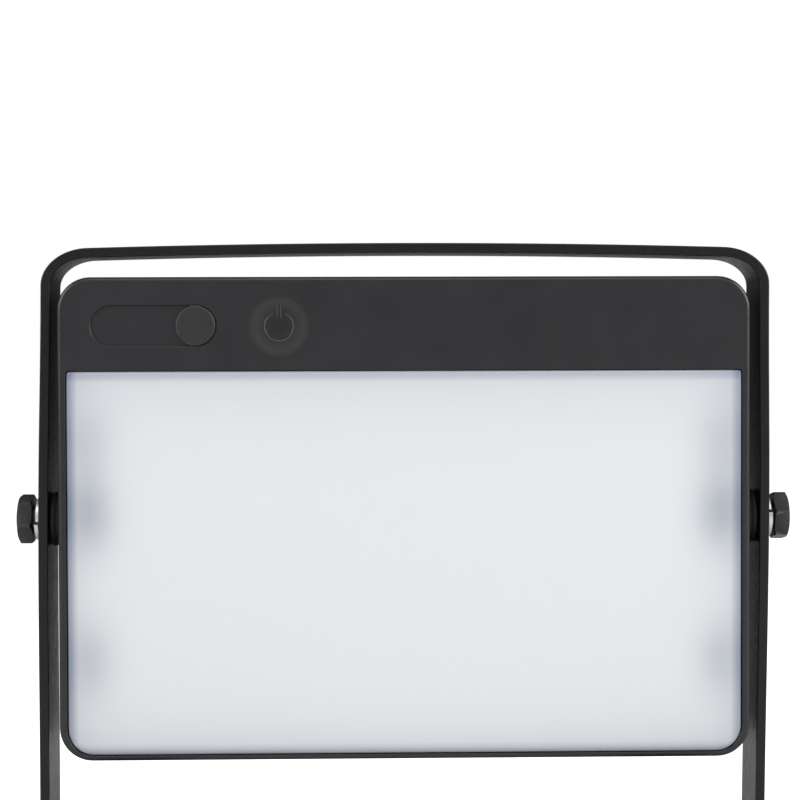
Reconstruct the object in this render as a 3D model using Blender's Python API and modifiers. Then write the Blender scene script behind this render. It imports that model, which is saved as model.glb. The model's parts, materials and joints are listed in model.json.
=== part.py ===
"""Portable LED work light: a flat rectangular lamp head that tilts in a bent steel loop.

The loop is both the carrying handle and the stand. Two hex bolts hold the head in it, and
two cross feet are screwed under it. Metres, +Z up, the lamp's face looks along -Y.
The origin is on the floor, midway between the feet.
"""
import math

import bmesh
import bpy
from mathutils import Matrix, Vector

# ---- driving dimensions -------------------------------------------------------------
PIVOT_Z = 0.1450            # height of the tilt axis, which lies on Y = 0
HEAD_Z = 0.1458             # height of the head's centre
HEAD_HALF_W = 0.1254
HEAD_HALF_H = 0.0875
HEAD_CORNER = 0.0120
FACE_Y = -0.0160            # front face of the head
TUB_BACK_Y = 0.0240         # rear edge of the front housing
FACE_WALL = 0.0030
SIDE_WALL = 0.0015
GAP = 0.0003                # air between neighbouring pieces

WINDOW_HALF_W = 0.1224
WINDOW_TOP = 0.0536         # from the head's centre
WINDOW_BOTTOM = -0.0855
WINDOW_CORNERS = (0.0013, 0.0095)   # top and bottom radius

BAR = 0.0035                # thickness of the flat steel bar
BAR_DEPTH = 0.0250
LOOP_HALF_W = 0.1323        # outer half width at the top and the bottom
LOOP_BOW = 0.0008           # how far the bolts bow each leg out
LOOP_TOP = 0.2440           # outer top of the loop beside its corners
LOOP_CROWN = 0.0016
LOOP_CORNER = (0.0175, 0.0135)      # how wide and how high the bar's bends are
PAD_SOLE = 0.0040           # rubber under the feet
FOOT_LENGTH = 0.1700
FOOT_X = 0.1050
FOOT_CORNER = 0.0060
FOOT_SCREW_SHIFT = 0.0070   # each foot's two screws, left and right of its middle
FOOT_HOLE_R = 0.0028
SINK_R = 0.0053             # countersink of the foot screws
NUT_R = 0.0046
NUT_HEIGHT = 0.0044
BOOT_WALL = 0.0025
BOOT_INNER_Y = 0.0500       # where each rubber boot starts
FOOT_TOP = PAD_SOLE + BAR
LOOP_BOTTOM = FOOT_TOP + GAP
CENTRE_HOLE_R = 0.0053      # takes a 3/8 inch or M10 stand bolt

SCREW_R = 0.0016            # self-tapping screws in plastic
PILOT_R = 0.0019
BOLT_R = 0.0049             # M10 shank
BOLT_HOLE_R = 0.0055
CLEARANCE_R = 0.0053        # rings that the bolt passes through
INSERT_R = 0.0067
INSERT_INNER_X = 0.1100
SPACER_R = 0.0099
WASHER_R = 0.0077
WASHER = (0.0002, 0.0025)   # the split washer, outwards from the leg
BOLT_HEAD = (0.0027, 0.0093)        # the hex head, outwards from the leg
BOLT_HEAD_R = 0.00925       # across its corners
BOSS_R = 0.0090
BOSS_INNER_X = 0.1095

KNOB_X = -0.0755
KNOB_Z = HEAD_Z + 0.0700
KNOB_R = 0.0071
KNOB_TRAVEL = 0.0300
TRACK_X = -0.0907
TRACK_LENGTH = 0.0452
TRACK_R = 0.00735
TRACK_LIP = 0.0004          # thickness of the edge that holds the knob in
TRACK_DEPTH = 0.0009
TRACK_UNDERCUT = 0.0010     # how far the track widens behind its edge
KNOB_EAR_R = 0.0081         # two ears reach under the track's edges
KNOB_EAR_HALF_W = 0.0018
KNOB_POCKET_R = 0.0033
BUTTON_X = -0.0455
BUTTON_Z = HEAD_Z + 0.0695
BUTTON_R = 0.0114

PILLARS = [(x, HEAD_Z + z) for x in (-0.0980, 0.0980) for z in (-0.0620, 0.0380)]
POSTS = [(x, HEAD_Z + z) for x, z in
         ((-0.1170, 0.0790), (0.0, 0.0805), (0.1170, 0.0790),
          (-0.1196, -0.0520), (0.1196, -0.0520), (0.0, -0.0818))]
POST_R = 0.0045
COVER = (TUB_BACK_Y + 0.0010, TUB_BACK_Y + 0.0030)
RIB_PITCH = 0.0180
RIB_HALF_W = 0.0011
RIB_HEIGHT = 0.0020
PORT_X = 0.0550
PORT_Z = HEAD_Z - 0.0600
FLAP_PIN_Y = 0.0295
FLAP_PIN_Z = PORT_Z + 0.0105
FLAP = (0.0274, 0.0290)
BARREL_R = 0.0021
PIN_HOLE_R = 0.0012
LUG_X = (-0.0108, 0.0078)   # left sides of the two lugs, from the port
LUG_WIDTH = 0.0030

# What is stacked behind the window: front and back of each layer.
LENS_FLANGE = (-0.0127, -0.0114)
SEAL = (-0.0111, -0.0104)
REFLECTOR_RIM = (-0.0101, -0.0093)
REFLECTOR = (-0.0098, -0.0020)
LED_BOARD = (-0.0017, -0.0001)
SPREADER = (0.0002, 0.0024)
BATTERY_Y = 0.0119
CELL_R = 0.0092
CELL_PITCH = 0.0186
CELL_HALF_LENGTH = 0.0325
CONTROL_BOARD = (-0.0070, -0.0054)
DRIVER_BOARD = (0.0060, 0.0076)

# ---- scene and materials --------------------------------------------------------------
for leftover in list(bpy.data.objects):
    bpy.data.objects.remove(leftover)

parts = bpy.data.collections.new("LED work light")
cutters = bpy.data.collections.new("Cutters")
bpy.context.scene.collection.children.link(parts)
bpy.context.scene.collection.children.link(cutters)

FINISHES = {                # colour (linear), roughness, metallic
    "powder_coat": ((0.020, 0.020, 0.022), 0.45, 0.0),
    "black_plastic": ((0.036, 0.035, 0.038), 0.50, 0.0),
    "dark_plastic": ((0.030, 0.030, 0.033), 0.50, 0.0),
    "white_plastic": ((0.80, 0.80, 0.80), 0.40, 0.0),
    "opal": ((0.78, 0.79, 0.82), 0.35, 0.0),
    "rubber": ((0.015, 0.015, 0.016), 0.80, 0.0),
    "black_steel": ((0.030, 0.030, 0.032), 0.40, 0.6),
    "zinc_steel": ((0.62, 0.63, 0.65), 0.30, 1.0),
    "brass": ((0.70, 0.50, 0.22), 0.30, 1.0),
    "aluminium": ((0.72, 0.73, 0.75), 0.35, 1.0),
    "circuit_board": ((0.02, 0.16, 0.07), 0.50, 0.0),
    "white_board": ((0.85, 0.86, 0.86), 0.40, 0.0),
    "battery_wrap": ((0.03, 0.12, 0.35), 0.45, 0.0),
    "magnet": ((0.55, 0.55, 0.56), 0.30, 1.0),
}


def own_material(piece, finish):
    """Give a piece its own Principled material."""
    colour, roughness, metallic = FINISHES[finish]
    material = bpy.data.materials.new(piece.name)
    material.use_nodes = True
    shader = material.node_tree.nodes["Principled BSDF"]
    shader.inputs["Base Color"].default_value = (*colour, 1.0)
    shader.inputs["Roughness"].default_value = roughness
    shader.inputs["Metallic"].default_value = metallic
    piece.data.materials.clear()
    piece.data.materials.append(material)


def assembly(name, origin, parent=None):
    """An empty that carries the pieces of one rigid group, with its origin on the joint."""
    empty = bpy.data.objects.new(name, None)
    empty.empty_display_size = 0.02
    empty.location = Vector(origin)
    if parent:
        empty.parent = parent
        empty.location -= parent.matrix_world.translation
    parts.objects.link(empty)
    bpy.context.view_layer.update()
    return empty


def finish_piece(piece, finish, group):
    """Shade a piece, colour it, and hang it on its group's empty."""
    origin = group.matrix_world.translation
    piece.data.transform(Matrix.Translation(-origin))
    piece.parent = group
    piece.location = (0.0, 0.0, 0.0)
    cutters.objects.unlink(piece)
    parts.objects.link(piece)
    piece.data.shade_smooth()
    piece.data.set_sharp_from_angle(angle=math.radians(35))
    own_material(piece, finish)
    return piece


# ---- outlines, as lists of points in a plane --------------------------------------------
def arc(u, v, radius, start, end, steps=6):
    angles = [math.radians(start + (end - start) * i / steps) for i in range(steps + 1)]
    return [(u + radius * math.cos(a), v + radius * math.sin(a)) for a in angles]


def circle(u, v, radius, steps=24):
    return arc(u, v, radius, 0, 360, steps)[:-1]


def rounded(u0, u1, v0, v1, top_r, bottom_r, steps=6):
    """A rectangle with one radius on its two upper corners and one on its two lower ones."""
    return (arc(u1 - top_r, v1 - top_r, top_r, 0, 90, steps)
            + arc(u0 + top_r, v1 - top_r, top_r, 90, 180, steps)
            + arc(u0 + bottom_r, v0 + bottom_r, bottom_r, 180, 270, steps)
            + arc(u1 - bottom_r, v0 + bottom_r, bottom_r, 270, 360, steps))


def bend(u, v, size, start, steps=6):
    """A quarter of an ellipse, from an angle in degrees."""
    angles = [math.radians(start + 90 * i / steps) for i in range(steps + 1)]
    return [(u + size[0] * math.cos(a), v + size[1] * math.sin(a)) for a in angles]


def stadium(u, v, length, radius, steps=10):
    half = length / 2 - radius
    return arc(u + half, v, radius, -90, 90, steps) + arc(u - half, v, radius, 90, 270, steps)


def head_outline(inset=0.0):
    """The head's outer outline, moved inwards."""
    radius = HEAD_CORNER - inset
    return rounded(inset - HEAD_HALF_W, HEAD_HALF_W - inset, HEAD_Z - HEAD_HALF_H + inset,
                   HEAD_Z + HEAD_HALF_H - inset, radius, radius)


def window_outline(inset=0.0):
    """The lit window's outline, moved inwards."""
    top_r, bottom_r = (max(radius - inset, 0.0004) for radius in WINDOW_CORNERS)
    return rounded(inset - WINDOW_HALF_W, WINDOW_HALF_W - inset, HEAD_Z + WINDOW_BOTTOM + inset,
                   HEAD_Z + WINDOW_TOP - inset, top_r, bottom_r)


def lens_seat_outline(inset=0.0):
    """The outline of what is stacked behind the window, inside the housing's walls."""
    edge = SIDE_WALL + GAP + inset
    corner = max(HEAD_CORNER - edge, 0.0005)
    return rounded(edge - HEAD_HALF_W, HEAD_HALF_W - edge, HEAD_Z - HEAD_HALF_H + edge,
                   HEAD_Z + WINDOW_TOP + 0.0015 - inset, 0.0006, corner)


# ---- solids -----------------------------------------------------------------------------
TURN = {                    # columns: where an outline's u, v and thickness directions go
    "X": Matrix(((0, 0, 1, 0), (1, 0, 0, 0), (0, 1, 0, 0), (0, 0, 0, 1))),
    "Y": Matrix(((1, 0, 0, 0), (0, 0, 1, 0), (0, 1, 0, 0), (0, 0, 0, 1))),
    "Z": Matrix.Identity(4),
}


def clean(mesh):
    """Weld a mesh's loose edges and turn its faces outwards."""
    bm = bmesh.new()
    bm.from_mesh(mesh)
    bmesh.ops.remove_doubles(bm, verts=bm.verts, dist=1e-6)
    bmesh.ops.dissolve_limit(bm, angle_limit=math.radians(0.2), verts=bm.verts, edges=bm.edges)
    bmesh.ops.recalc_face_normals(bm, faces=bm.faces)
    bm.to_mesh(mesh)
    bm.free()


def new_piece(name, mesh):
    piece = bpy.data.objects.new(name, mesh)
    piece.display_type = "WIRE"
    cutters.objects.link(piece)
    return piece


def evaluated_mesh(thing):
    graph = bpy.context.evaluated_depsgraph_get()
    return bpy.data.meshes.new_from_object(thing.evaluated_get(graph))


def slab(name, outline, low, high, holes=(), along="Y"):
    """A flat plate: an outline with holes, between two places along an axis."""
    curve = bpy.data.curves.new(name, "CURVE")
    curve.dimensions = "2D"
    curve.fill_mode = "BOTH"
    curve.extrude = (high - low) / 2
    for points in (outline, *holes):
        spline = curve.splines.new("POLY")
        spline.points.add(len(points) - 1)
        spline.use_cyclic_u = True
        for point, (u, v) in zip(spline.points, points):
            point.co = (u, v, 0.0, 1.0)
    guide = bpy.data.objects.new(name, curve)
    cutters.objects.link(guide)
    mesh = evaluated_mesh(guide)
    bpy.data.objects.remove(guide)
    bpy.data.curves.remove(curve)
    mesh.name = name
    mesh.transform(TURN[along] @ Matrix.Translation((0.0, 0.0, (low + high) / 2)))
    clean(mesh)
    return new_piece(name, mesh)


def block(name, low, high):
    """A box between two corners."""
    low, high = Vector(low), Vector(high)
    bm = bmesh.new()
    bmesh.ops.create_cube(bm, size=1.0)
    size = Matrix.Diagonal((*(high - low), 1.0))
    bmesh.ops.transform(bm, matrix=Matrix.Translation((low + high) / 2) @ size, verts=bm.verts)
    mesh = bpy.data.meshes.new(name)
    bm.to_mesh(mesh)
    bm.free()
    return new_piece(name, mesh)


def rod(name, centre, radius, low, high, along="Y", sides=16, top_radius=None):
    """A cylinder or cone along an axis; centre holds its two other coordinates."""
    bm = bmesh.new()
    bmesh.ops.create_cone(bm, cap_ends=True, segments=sides, radius1=radius,
                          radius2=radius if top_radius is None else top_radius,
                          depth=high - low)
    middle = Matrix.Translation((centre[0], centre[1], (low + high) / 2))
    bmesh.ops.transform(bm, matrix=TURN[along] @ middle, verts=bm.verts)
    mesh = bpy.data.meshes.new(name)
    bm.to_mesh(mesh)
    bm.free()
    clean(mesh)
    return new_piece(name, mesh)


def turned(name, profile, centre, along="Y", steps=24):
    """A turned piece: (radius, place along the axis) points spun with a Screw modifier."""
    bm = bmesh.new()
    verts = [bm.verts.new((radius, 0.0, place)) for radius, place in profile]
    for first, second in zip(verts, verts[1:]):
        bm.edges.new((first, second))
    if profile[0][0] > 0.0:
        bm.edges.new((verts[-1], verts[0]))
    mesh = bpy.data.meshes.new(name)
    bm.to_mesh(mesh)
    bm.free()
    spun = new_piece(name, mesh)
    screw = spun.modifiers.new("Spin", "SCREW")
    screw.steps = screw.render_steps = steps
    screw.use_merge_vertices = True
    screw.merge_threshold = 0.00001
    mesh = evaluated_mesh(spun)
    spun.modifiers.clear()
    spun.data = mesh
    mesh.transform(TURN[along] @ Matrix.Translation((centre[0], centre[1], 0.0)))
    clean(mesh)
    return spun


def combine(piece, operation, tools):
    """Join tools to a piece, cut them from it, or keep what they share; the tools go."""
    for tool in tools:
        modifier = piece.modifiers.new(operation.title(), "BOOLEAN")
        modifier.operation = operation
        modifier.solver = "EXACT"
        modifier.object = tool
    mesh = evaluated_mesh(piece)
    piece.modifiers.clear()
    piece.data = mesh
    for tool in tools:
        bpy.data.objects.remove(tool)
    return piece


def join(piece, *tools):
    return combine(piece, "UNION", tools)


def cut(piece, *tools):
    return combine(piece, "DIFFERENCE", tools)


def soften(piece, width, segments, chosen):
    """Round the edges whose two ends satisfy a test."""
    bm = bmesh.new()
    bm.from_mesh(piece.data)
    edges = [edge for edge in bm.edges
             if all(chosen(vert.co) for vert in edge.verts)
             and edge.calc_face_angle(0.0) > math.radians(40)]
    bmesh.ops.bevel(bm, geom=edges, offset=width, segments=segments, profile=0.5,
                    affect="EDGES")
    bm.to_mesh(piece.data)
    bm.free()
    return piece


# ---- the stand ------------------------------------------------------------------------------
def loop_outline(inset):
    """The closed loop: crowned top bar, legs bowed out at the bolts, flat bottom bar."""
    corner = tuple(size - inset for size in LOOP_CORNER)
    half_w = LOOP_HALF_W - inset
    top, bottom = LOOP_TOP - inset, LOOP_BOTTOM + inset
    flat = half_w - corner[0]
    low, high = bottom + corner[1], top - corner[1]
    crown = [(flat * t, top + LOOP_CROWN * (1 - t * t)) for t in (0.75, 0.5, 0.25)]
    crown += [(0.0, top + LOOP_CROWN)] + [(-u, v) for u, v in reversed(crown)]
    right = []
    for end, steps in ((low, (-0.6, -0.3)), (high, (0.0, 0.3, 0.6))):
        for t in steps:
            z = PIVOT_Z + abs(t) * (end - PIVOT_Z)
            right.append((half_w + LOOP_BOW * math.cos(math.pi * t / 2) ** 2, z))
    left = [(-u, v) for u, v in reversed(right)]
    return (bend(flat, low, corner, -90) + right + bend(flat, high, corner, 0) + crown
            + bend(-flat, high, corner, 90) + left + bend(-flat, low, corner, 180))


def foot_screw_places(foot_x):
    return [(foot_x + shift, 0.0) for shift in (-FOOT_SCREW_SHIFT, FOOT_SCREW_SHIFT)]


def stand(group):
    loop = slab("stand_loop", loop_outline(0.0), -BAR_DEPTH / 2, BAR_DEPTH / 2,
                [loop_outline(BAR)])
    reach = LOOP_HALF_W + 0.0100
    cut(loop, rod("pivot_hole", (0.0, PIVOT_Z), BOLT_HOLE_R, -reach, reach, "X", 24),
        rod("centre_hole", (0.0, 0.0), CENTRE_HOLE_R, 0.0, LOOP_BOTTOM + 2 * BAR, "Z", 20),
        *[rod("screw_hole", place, FOOT_HOLE_R, 0.0, LOOP_BOTTOM + 2 * BAR, "Z", 12)
          for side in (-1, 1) for place in foot_screw_places(side * FOOT_X)])
    finish_piece(loop, "powder_coat", group)
    for side, foot_x in (("left", -FOOT_X), ("right", FOOT_X)):
        foot(group, side, foot_x)


def foot(group, side, foot_x):
    """A cross bar under the loop, its two screws and nuts, and a rubber boot on each end."""
    half = BAR_DEPTH / 2
    outline = rounded(foot_x - half, foot_x + half, -FOOT_LENGTH / 2, FOOT_LENGTH / 2,
                      FOOT_CORNER, FOOT_CORNER, 3)
    bar = slab(f"foot_{side}", outline, PAD_SOLE, FOOT_TOP, along="Z")
    cut(bar, *[rod("hole", place, FOOT_HOLE_R, 0.0, 0.0100, "Z", 12)
               for place in foot_screw_places(foot_x)],
        *[rod("sink", place, SINK_R, PAD_SOLE - 0.0001, PAD_SOLE + 0.0025, "Z", 12,
              FOOT_HOLE_R) for place in foot_screw_places(foot_x)])
    finish_piece(bar, "powder_coat", group)
    for number, place in enumerate(foot_screw_places(foot_x), 1):
        screw = rod(f"foot_screw_{side}_{number}", place, 0.0050, PAD_SOLE, 0.0065, "Z", 12,
                    0.0025)
        join(screw, rod("shank", place, 0.0025, 0.0055, 0.0165, "Z", 12))
        cut(screw, rod("socket", place, 0.0016, 0.0, PAD_SOLE + 0.0018, "Z", 6))
        finish_piece(screw, "zinc_steel", group)
        seat = LOOP_BOTTOM + BAR + GAP
        nut = slab(f"foot_nut_{side}_{number}", circle(*place, NUT_R, 6), seat,
                   seat + NUT_HEIGHT, [circle(*place, FOOT_HOLE_R, 12)], "Z")
        finish_piece(nut, "zinc_steel", group)
    for end, direction in (("front", -1), ("rear", 1)):
        inner, tip = sorted((direction * BOOT_INNER_Y,
                             direction * (FOOT_LENGTH / 2 + BOOT_WALL)))
        reach = half + BOOT_WALL
        boot = slab(f"foot_pad_{side}_{end}",
                    rounded(foot_x - reach, foot_x + reach, inner, tip, FOOT_CORNER,
                            FOOT_CORNER, 3), 0.0, FOOT_TOP + BOOT_WALL, along="Z")
        pocket = rounded(foot_x - half - GAP, foot_x + half + GAP, -FOOT_LENGTH / 2 - GAP,
                         FOOT_LENGTH / 2 + GAP, FOOT_CORNER, FOOT_CORNER, 3)
        cut(boot, slab("pocket", pocket, PAD_SOLE - GAP, FOOT_TOP + GAP, along="Z"))
        finish_piece(boot, "rubber", group)


# ---- the bolts that hold the head in the loop --------------------------------------------------
def pivot_hardware(group, side, sign):
    """Insert, spacer, split washer and hex bolt, from the head outwards."""
    place = (0.0, PIVOT_Z)

    def ring(name, outer, inner, low, high, finish):
        low, high = sorted((sign * low, sign * high))
        piece = slab(f"{name}_{side}", circle(*place, outer, 28), low, high,
                     [circle(*place, inner, 20)], "X")
        return piece if finish is None else finish_piece(piece, finish, group)

    outside = LOOP_HALF_W + LOOP_BOW
    ring("pivot_insert", INSERT_R, CLEARANCE_R - 0.0001, INSERT_INNER_X, HEAD_HALF_W, "brass")
    ring("pivot_spacer", SPACER_R, CLEARANCE_R, HEAD_HALF_W + GAP, outside - BAR - GAP,
         "rubber")
    split = ring("split_washer", WASHER_R, CLEARANCE_R, outside + WASHER[0],
                 outside + WASHER[1], None)
    middle = sign * (outside + sum(WASHER) / 2)
    slit = block("slit", (middle - 0.0020, -0.0003, PIVOT_Z),
                 (middle + 0.0020, 0.0006, PIVOT_Z + 0.0100))
    finish_piece(cut(split, slit), "zinc_steel", group)

    head_low, head_high = (outside + step for step in BOLT_HEAD)
    low, high = sorted((sign * head_low, sign * head_high))
    bolt = rod(f"pivot_bolt_{side}", place, BOLT_HEAD_R, low, high, "X", 6)
    chamfer = turned("chamfer", [(0.0, sign * (head_low - 0.0001)),
                                 (0.0086, sign * (head_low - 0.0001)),
                                 (0.0095, sign * (head_low + 0.0007)),
                                 (0.0095, sign * (head_high - 0.0010)),
                                 (0.0080, sign * (head_high - 0.0001)),
                                 (0.0, sign * (head_high + 0.0001))], place, "X", 24)
    combine(bolt, "INTERSECT", [chamfer])
    low, high = sorted((sign * (INSERT_INNER_X + 0.0015), sign * (head_low + 0.0020)))
    join(bolt, rod("shank", place, BOLT_R, low, high, "X", 20))
    finish_piece(bolt, "black_steel", group)


# ---- the head's shells ---------------------------------------------------------------------------
def front_housing(group):
    """A deep tub: the face with its window, control band, side walls, bosses and posts."""
    tub = slab("front_housing", head_outline(), FACE_Y, TUB_BACK_Y)
    soften(tub, 0.0010, 2, lambda co: co.y < FACE_Y + 0.0001)
    cavity = slab("cavity", head_outline(SIDE_WALL), FACE_Y + FACE_WALL, TUB_BACK_Y + 0.0020)
    cut(tub, cavity)
    inside = HEAD_HALF_W - SIDE_WALL / 2
    join(tub, block("band_rib", (-inside, FACE_Y + 0.0020, HEAD_Z + WINDOW_TOP + 0.0018),
                    (inside, 0.0020, HEAD_Z + WINDOW_TOP + 0.0028)),
         *[rod("post", place, POST_R, FACE_Y + 0.0020 if place[1] > HEAD_Z else -0.0089,
               TUB_BACK_Y - 0.0002, "Y", 12) for place in POSTS],
         *[rod("boss", (0.0, PIVOT_Z), BOSS_R, *sorted((sign * BOSS_INNER_X, sign * inside)),
               "X", 20) for sign in (-1, 1)])
    cut(tub, slab("window", window_outline(), FACE_Y - 0.0020, FACE_Y + FACE_WALL + 0.0010),
        slab("track", stadium(TRACK_X, KNOB_Z, TRACK_LENGTH, TRACK_R),
             FACE_Y - 0.0010, FACE_Y + TRACK_DEPTH - 0.0001),
        slab("undercut", stadium(TRACK_X, KNOB_Z, TRACK_LENGTH + 2 * TRACK_UNDERCUT,
                                 TRACK_R + TRACK_UNDERCUT),
             FACE_Y + TRACK_LIP, FACE_Y + TRACK_DEPTH),
        rod("button_hole", (BUTTON_X, BUTTON_Z), BUTTON_R + GAP, FACE_Y - 0.0010, -0.0120,
            "Y", 28),
        rod("insert_bore", (0.0, PIVOT_Z), 0.0070, -0.1300, 0.1300, "X", 20),
        *[rod("pilot", place, PILOT_R, 0.0090, 0.0300, "Y", 8) for place in POSTS])
    finish_piece(tub, "black_plastic", group)


def rear_cover(group):
    """The ribbed back plate, with pillars for the lamp board and a port for charging."""
    low, high = COVER
    cover = slab("rear_cover", head_outline(0.0004), low, high)
    soften(cover, 0.0008, 2, lambda co: co.y > high - 0.0001)
    ribs = [block("rib", (x - RIB_HALF_W, low + 0.0010, HEAD_Z - 0.0440),
                  (x + RIB_HALF_W, high + RIB_HEIGHT, HEAD_Z + 0.0700))
            for x in (RIB_PITCH * (i - 5) for i in range(11))]
    pillars = [rod("pillar", place, 0.0040, 0.0027, low + 0.0010, "Y", 12)
               for place in PILLARS]
    lugs = [block("lug", (PORT_X + x, high - 0.0005, FLAP_PIN_Z - BARREL_R),
                  (PORT_X + x + LUG_WIDTH, FLAP_PIN_Y + BARREL_R, FLAP_PIN_Z + BARREL_R))
            for x in LUG_X]
    join(cover, *ribs, *pillars, *lugs)
    cut(cover, *[rod("screw_hole", place, PILOT_R + 0.0002, 0.0200, 0.0400, "Y", 10)
                 for place in POSTS],
        *[rod("pilot", place, PILOT_R, 0.0000, 0.0140, "Y", 8) for place in PILLARS],
        rod("port", (PORT_X, PORT_Z), 0.0045, 0.0200, 0.0400, "Y", 16),
        rod("pin_hole", (FLAP_PIN_Y, FLAP_PIN_Z), PIN_HOLE_R, PORT_X - 0.0200,
            PORT_X + 0.0200, "X", 10))
    finish_piece(cover, "dark_plastic", group)
    inner = head_outline(SIDE_WALL + 0.0010)
    seal = slab("cover_gasket", head_outline(0.0006), TUB_BACK_Y + GAP / 2,
                TUB_BACK_Y + 0.0010 - GAP / 2, [inner])
    cut(seal, *[rod("clear", place, POST_R + GAP, 0.0200, 0.0300, "Y", 12)
                for place in POSTS])
    finish_piece(seal, "rubber", group)
    for number, place in enumerate(POSTS, 1):
        screw = rod(f"cover_screw_{number}", place, 0.0034, high + GAP, high + 0.0018, "Y", 14,
                    0.0027)
        join(screw, rod("shank", place, SCREW_R, 0.0110, high + 0.0010, "Y", 8))
        cut(screw, rod("socket", place, 0.0013, high + 0.0008, high + 0.0040, "Y", 6))
        finish_piece(screw, "zinc_steel", group)


# ---- light engine ----------------------------------------------------------------------------------
def light_engine(group):
    """The diffuser, its seal, the reflector, the lamp board and its heat spreader."""
    lens = slab("diffuser", window_outline(GAP), FACE_Y - GAP, -0.0120)
    soften(lens, 0.0006, 2, lambda co: co.y < FACE_Y)
    join(lens, slab("flange", lens_seat_outline(), *LENS_FLANGE))
    cut(lens, slab("hollow", window_outline(0.0022), -0.0143, -0.0100))
    finish_piece(lens, "opal", group)
    finish_piece(slab("diffuser_seal", lens_seat_outline(), *SEAL,
                      [window_outline(0.0022)]), "rubber", group)

    mouth = (-0.1075, 0.1075, HEAD_Z - 0.0745, HEAD_Z + 0.0500)
    reflector = slab("reflector", rounded(mouth[0] - 0.0012, mouth[1] + 0.0012,
                                          mouth[2] - 0.0012, mouth[3] + 0.0012,
                                          0.0060, 0.0060, 4), *REFLECTOR,
                     [rounded(*mouth, 0.0050, 0.0050, 4)])
    for vert in reflector.data.vertices:
        if vert.co.y > REFLECTOR[1] - 0.0010:
            vert.co.x *= 0.94
            vert.co.z = HEAD_Z - 0.0120 + (vert.co.z - HEAD_Z + 0.0120) * 0.90
    join(reflector, slab("rim", lens_seat_outline(), *REFLECTOR_RIM,
                         [rounded(*mouth, 0.0050, 0.0050, 4)]))
    finish_piece(reflector, "white_plastic", group)

    board = slab("led_board", rounded(-0.1045, 0.1045, HEAD_Z - 0.0690, HEAD_Z + 0.0450,
                                      0.0030, 0.0030, 3), *LED_BOARD)
    join(board, *[block("led", (x - 0.0025, -0.0026, HEAD_Z + z - 0.0025),
                        (x + 0.0025, -0.0012, HEAD_Z + z + 0.0025))
                  for x in (-0.0875 + 0.0350 * i for i in range(6))
                  for z in (-0.0600 + 0.0320 * i for i in range(4))])
    cut(board, *[rod("hole", place, PILOT_R, -0.0100, 0.0100, "Y", 8) for place in PILLARS])
    finish_piece(board, "white_board", group)

    spreader = slab("heat_spreader", rounded(-0.1060, 0.1060, HEAD_Z - 0.0700,
                                             HEAD_Z + 0.0460, 0.0030, 0.0030, 3),
                    *SPREADER,
                    [circle(*place, PILOT_R, 8) for place in PILLARS])
    finish_piece(spreader, "aluminium", group)
    for number, place in enumerate(PILLARS, 1):
        screw = rod(f"board_screw_{number}", place, 0.0027, -0.0038, -0.0020, "Y", 12)
        join(screw, rod("shank", place, SCREW_R, -0.0030, 0.0100, "Y", 8))
        finish_piece(screw, "zinc_steel", group)


# ---- power and controls -------------------------------------------------------------------------------
def batteries(group):
    """Two packs of three round cells in shrink wrap, under one steel strap."""
    rows = [HEAD_Z - 0.0120 + shift for shift in (-CELL_PITCH, 0.0, CELL_PITCH)]
    for side, x in (("left", -0.0450), ("right", 0.0450)):
        ends = (x - CELL_HALF_LENGTH, x + CELL_HALF_LENGTH)
        pack = rod(f"battery_{side}", (BATTERY_Y, rows[0]), CELL_R, *ends, "X", 16)
        join(pack, *[rod("cell", (BATTERY_Y, z), CELL_R, *ends, "X", 16) for z in rows[1:]],
             block("wrap", (ends[0] + 0.0005, BATTERY_Y - 0.0055, rows[0]),
                   (ends[1] - 0.0005, BATTERY_Y + 0.0055, rows[2])))
        finish_piece(pack, "battery_wrap", group)
    low, high = HEAD_Z - 0.0220, HEAD_Z - 0.0020
    strap = block("battery_strap", (-0.0850, 0.0027, low), (0.0850, 0.0224, high))
    cut(strap, block("space", (-0.0838, 0.0000, low - 0.0100), (0.0838, 0.0214, high + 0.0100)))
    finish_piece(strap, "zinc_steel", group)


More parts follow.
